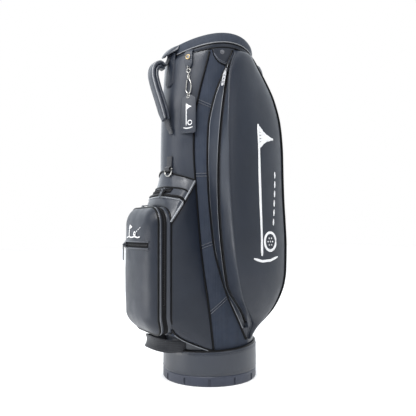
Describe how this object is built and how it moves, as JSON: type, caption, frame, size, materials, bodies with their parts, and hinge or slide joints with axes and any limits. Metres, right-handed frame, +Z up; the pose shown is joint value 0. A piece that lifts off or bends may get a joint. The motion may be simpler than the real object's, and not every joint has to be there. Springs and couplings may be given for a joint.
{
  "type": "golf staff bag",
  "caption": "Upright golf bag: divided round tube with arched rim, side apparel pockets, front ball pocket, carry handle and moulded foot.",
  "frame": {"origin": "centre of the foot's ground face, on the floor", "axes": "+Z up along the tube, -Y the front with the handle and ball pocket, +X the bag's side to the right of a viewer facing the front"},
  "size_m": [0.3868, 0.3675, 0.8782],
  "materials": {
    "leather_black": "grained synthetic leather, satin",
    "ripstop_dark": "dark woven fabric band",
    "zipper_tape": "woven zipper tape with coil teeth",
    "metal_gunmetal": "dark plated die casting",
    "metal_silver": "bright nickel plated",
    "foot_plastic": "moulded matt plastic",
    "rim_plastic": "moulded matt plastic",
    "rim_fabric": "padded fabric rim wrap",
    "lining_fabric": "brushed lining cloth",
    "webbing_black": "woven webbing",
    "stay_metal": "drawn rod",
    "tube_board": "polyethylene sheet tube",
    "pad_rubber": "foam rubber pad",
    "piping_black": "smooth glossy piping"
  },
  "bodies": {
    "bag": {"apparel_face_left": "leather_black", "apparel_face_right": "leather_black", "apparel_gusset_left": "leather_black", "apparel_gusset_right": "leather_black", "apparel_zippers_left": "zipper_tape", "apparel_zippers_right": "zipper_tape", "badge_strap": "leather_black", "badge_stud": "metal_silver", "ball_face_zipper": "zipper_tape", "ball_pocket_face": "leather_black", "ball_pocket_gusset": "leather_black", "ball_pocket_zipper": "zipper_tape", "base_band": "leather_black", "base_foot": "foot_plastic", "base_piping": "piping_black", "base_rivets": "metal_gunmetal", "bottom_pad": "pad_rubber", "collar_band": "leather_black", "d_ring_tab": "webbing_black", "divider_frame": "rim_plastic", "divider_sheets": "lining_fabric", "front_panel": "leather_black", "handle_anchors": "leather_black", "hood_snaps": "metal_gunmetal", "inner_lining": "lining_fabric", "lower_front_panel": "leather_black", "rim_cover": "rim_fabric", "rim_frame": "rim_plastic", "rim_lip": "rim_plastic", "side_panel_left": "leather_black", "side_panel_right": "leather_black", "spine_panel": "leather_black", "stay_band_left": "ripstop_dark", "stay_band_right": "ripstop_dark", "support_stays": "stay_metal", "tube_shell": "tube_board", "valuables_pocket": "leather_black", "valuables_zipper": "zipper_tape"},
    "front_zip_right_slider": {"front_zip_right_slider": "metal_gunmetal"},
    "front_zip_right_puller": {"front_zip_right_puller": "metal_silver"},
    "rear_zip_right_slider": {"rear_zip_right_slider": "metal_gunmetal"},
    "rear_zip_right_puller": {"rear_zip_right_puller": "metal_silver"},
    "front_zip_left_slider": {"front_zip_left_slider": "metal_gunmetal"},
    "front_zip_left_puller": {"front_zip_left_puller": "metal_silver"},
    "rear_zip_left_slider": {"rear_zip_left_slider": "metal_gunmetal"},
    "rear_zip_left_puller": {"rear_zip_left_puller": "metal_silver"},
    "dome_zip_slider": {"dome_zip_slider": "metal_gunmetal"},
    "dome_zip_puller": {"dome_zip_puller": "metal_gunmetal"},
    "face_zip_slider": {"face_zip_slider": "metal_gunmetal"},
    "face_zip_puller": {"face_zip_puller": "metal_gunmetal"},
    "valuables_zip_slider": {"valuables_zip_slider": "metal_gunmetal"},
    "valuables_zip_puller": {"valuables_zip_puller": "metal_gunmetal"},
    "handle": {"carry_handle": "leather_black"},
    "front_ring": {"d_ring": "metal_silver"},
    "ring": {"tag_ring": "metal_silver"},
    "hook": {"snap_hook": "metal_silver"},
    "gate": {"hook_gate": "metal_silver"},
    "tag": {"name_tag": "leather_black", "tag_link": "metal_silver"},
    "grab": {"grab_strap": "webbing_black"}
  },
  "joints": [
    {"name": "front_zip_right_travel", "type": "hinge", "parent": "bag", "child": "front_zip_right_slider", "pos_m": [-0.12943, 1.00769, 0.508], "axis": [0.9681, 0.2504, -0.008], "range_deg": [0, 26.8]},
    {"name": "front_zip_right_puller_lift", "type": "hinge", "parent": "front_zip_right_slider", "child": "front_zip_right_puller", "pos_m": [0.14084, -0.03615, 0.7732], "axis": [-0.9973, 0.0379, -0.0631], "range_deg": [0, 150]},
    {"name": "rear_zip_right_travel", "type": "hinge", "parent": "bag", "child": "rear_zip_right_slider", "pos_m": [0.37534, -0.9441, 0.508], "axis": [-0.9681, -0.2504, 0.008], "range_deg": [0, 26.8]},
    {"name": "rear_zip_right_puller_lift", "type": "hinge", "parent": "rear_zip_right_slider", "child": "rear_zip_right_puller", "pos_m": [0.10565, 0.09989, 0.7732], "axis": [0.8539, 0.5167, 0.0631], "range_deg": [0, 150]},
    {"name": "front_zip_left_travel", "type": "hinge", "parent": "bag", "child": "front_zip_left_slider", "pos_m": [0.12943, 1.00769, 0.508], "axis": [0.9681, -0.2504, 0.008], "range_deg": [0, 26.8]},
    {"name": "front_zip_left_puller_lift", "type": "hinge", "parent": "front_zip_left_slider", "child": "front_zip_left_puller", "pos_m": [-0.14084, -0.03615, 0.7732], "axis": [-0.9973, -0.0379, 0.0631], "range_deg": [0, 150]},
    {"name": "rear_zip_left_travel", "type": "hinge", "parent": "bag", "child": "rear_zip_left_slider", "pos_m": [-0.37534, -0.9441, 0.508], "axis": [-0.9681, 0.2504, -0.008], "range_deg": [0, 26.8]},
    {"name": "rear_zip_left_puller_lift", "type": "hinge", "parent": "rear_zip_left_slider", "child": "rear_zip_left_puller", "pos_m": [-0.10565, 0.09989, 0.7732], "axis": [0.8539, -0.5167, -0.0631], "range_deg": [0, 150]},
    {"name": "dome_zip_travel", "type": "slide", "parent": "bag", "child": "dome_zip_slider", "axis": [1, 0, 0], "range_m": [0, 0.08]},
    {"name": "dome_zip_puller_lift", "type": "hinge", "parent": "dome_zip_slider", "child": "dome_zip_puller", "pos_m": [-0.04, -0.175, 0.4426], "axis": [0, -1, 0], "range_deg": [0, 120]},
    {"name": "face_zip_travel", "type": "hinge", "parent": "bag", "child": "face_zip_slider", "pos_m": [0, 0.12492, 0.344], "axis": [0, 0, 1], "range_deg": [0, 15]},
    {"name": "face_zip_puller_lift", "type": "hinge", "parent": "face_zip_slider", "child": "face_zip_puller", "pos_m": [-0.04614, -0.22568, 0.344], "axis": [-0.9915, 0.1305, 0], "range_deg": [0, 150]},
    {"name": "valuables_zip_travel", "type": "hinge", "parent": "bag", "child": "valuables_zip_slider", "pos_m": [0, 0.01274, 0.479], "axis": [0, 0, -1], "range_deg": [0, 21.7]},
    {"name": "valuables_zip_puller_lift", "type": "hinge", "parent": "valuables_zip_slider", "child": "valuables_zip_puller", "pos_m": [0.03189, -0.15332, 0.4814], "axis": [-0.9821, -0.1886, 0], "range_deg": [0, 110]},
    {"name": "handle_swing", "type": "hinge", "parent": "bag", "child": "handle", "pos_m": [0, -0.136, 0.799], "axis": [0.2064, -0.055, -0.9769], "range_deg": [-30, 30]},
    {"name": "d_ring_lift", "type": "hinge", "parent": "bag", "child": "front_ring", "pos_m": [0.02911, -0.13694, 0.5334], "axis": [-0.9781, -0.2079, 0], "range_deg": [0, 140]},
    {"name": "tag_ring_swing", "type": "hinge", "parent": "bag", "child": "ring", "pos_m": [0.07127, -0.10178, 0.7906], "axis": [0.5736, -0.8192, 0], "range_deg": [0, 18]},
    {"name": "snap_hook_lift", "type": "hinge", "parent": "ring", "child": "hook", "pos_m": [0.07127, -0.10178, 0.7806], "axis": [-0.8192, -0.5736, 0], "range_deg": [0, 24]},
    {"name": "gate_open", "type": "hinge", "parent": "hook", "child": "gate", "pos_m": [0.06783, -0.10419, 0.755], "axis": [0.5736, -0.8192, 0], "range_deg": [-14, 0], "stiffness_Nm_per_rad": 0.002},
    {"name": "name_tag_lift", "type": "hinge", "parent": "hook", "child": "tag", "pos_m": [0.07127, -0.10178, 0.72], "axis": [-0.8192, -0.5736, 0], "range_deg": [0, 70]},
    {"name": "grab_strap_lift", "type": "hinge", "parent": "bag", "child": "grab", "pos_m": [0, -0.099, 0.09], "axis": [-1, 0, 0], "range_deg": [-22, 0]}
  ]
}
